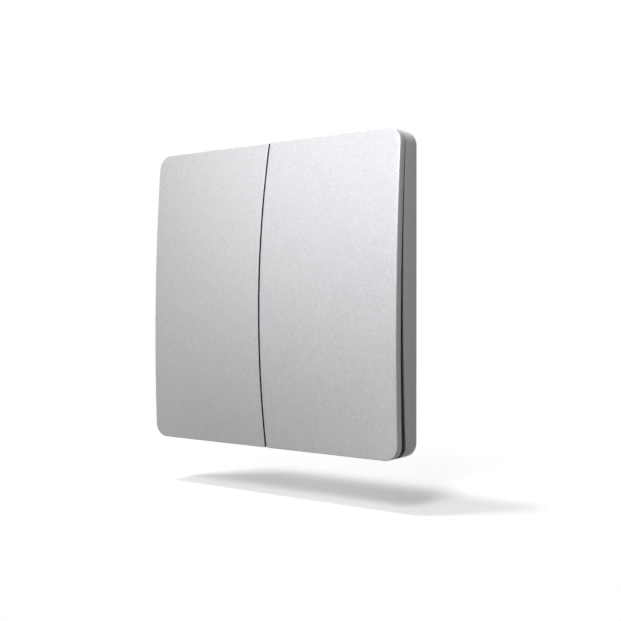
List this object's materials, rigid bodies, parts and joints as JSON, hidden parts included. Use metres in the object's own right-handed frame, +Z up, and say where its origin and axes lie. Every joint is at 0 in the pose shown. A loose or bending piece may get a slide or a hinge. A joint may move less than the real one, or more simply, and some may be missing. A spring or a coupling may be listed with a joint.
{
  "type": "wireless remote wall switch",
  "caption": "Square battery wall switch with two crowned silver rocker keys that hinge at the top and are pressed at the bottom, on a shallow housing for wall mounting.",
  "frame": {"origin": "centre of the housing's rear face, which lies on the wall", "axes": "+X to the right seen from the room, +Y into the wall, +Z up along the wall; the keys face -Y"},
  "size_m": [0.086, 0.0133, 0.0861],
  "materials": {
    "key_silver": "satin",
    "housing_silver": "satin",
    "carrier_grey": "matte",
    "screw_steel": "satin",
    "board_green": "satin",
    "cell_metal": "satin",
    "holder_black": "matte",
    "contact_metal": "satin",
    "radio_board_blue": "satin",
    "shield_metal": "satin",
    "led_white": "gloss",
    "clear_plastic": "gloss",
    "chip_ceramic": "satin",
    "bumper_rubber": "matte",
    "foam_tape": "matte",
    "switch_black": "matte",
    "plunger_brown": "satin",
    "spring_steel": "satin"
  },
  "bodies": {
    "base": {"rear_housing": "housing_silver", "key_carrier": "carrier_grey", "carrier_screws": "screw_steel", "board_screws": "screw_steel", "circuit_board": "board_green", "coin_cell": "cell_metal", "cell_holder": "holder_black", "positive_contact": "contact_metal", "negative_contact": "contact_metal", "radio_board": "radio_board_blue", "radio_shield": "shield_metal", "indicator_led": "led_white", "light_pipe": "clear_plastic", "chip_capacitors": "chip_ceramic", "crystal": "shield_metal", "bumper_pads": "bumper_rubber", "adhesive_pads": "foam_tape", "left_switch_body": "switch_black", "right_switch_body": "switch_black", "left_switch_cover": "shield_metal", "right_switch_cover": "shield_metal", "left_switch_legs": "contact_metal", "right_switch_legs": "contact_metal", "left_return_spring": "spring_steel", "right_return_spring": "spring_steel"},
    "left_key": {"left_key": "key_silver"},
    "right_key": {"right_key": "key_silver"},
    "left_plunger": {"left_plunger": "plunger_brown"},
    "right_plunger": {"right_plunger": "plunger_brown"}
  },
  "joints": [
    {"name": "left_key_press", "type": "hinge", "parent": "base", "child": "left_key", "pos_m": [-0.0216, -0.0052, 0.038], "axis": [1, 0, 0], "range_deg": [0, 1], "stiffness_Nm_per_rad": 2, "springref_deg": -1.15, "deforming": ["left_return_spring"]},
    {"name": "right_key_press", "type": "hinge", "parent": "base", "child": "right_key", "pos_m": [0.0216, -0.0052, 0.038], "axis": [1, 0, 0], "range_deg": [0, 1], "stiffness_Nm_per_rad": 2, "springref_deg": -1.15, "deforming": ["right_return_spring"]},
    {"name": "left_switch_travel", "type": "slide", "parent": "base", "child": "left_plunger", "axis": [0, 1, 0], "range_m": [0, 0.00095]},
    {"name": "right_switch_travel", "type": "slide", "parent": "base", "child": "right_plunger", "axis": [0, 1, 0], "range_m": [0, 0.00095]}
  ],
  "couplings": [
    {"joint": "left_switch_travel", "follows": "left_key_press", "m_per_rad": 0.0521},
    {"joint": "right_switch_travel", "follows": "right_key_press", "m_per_rad": 0.0521}
  ]
}
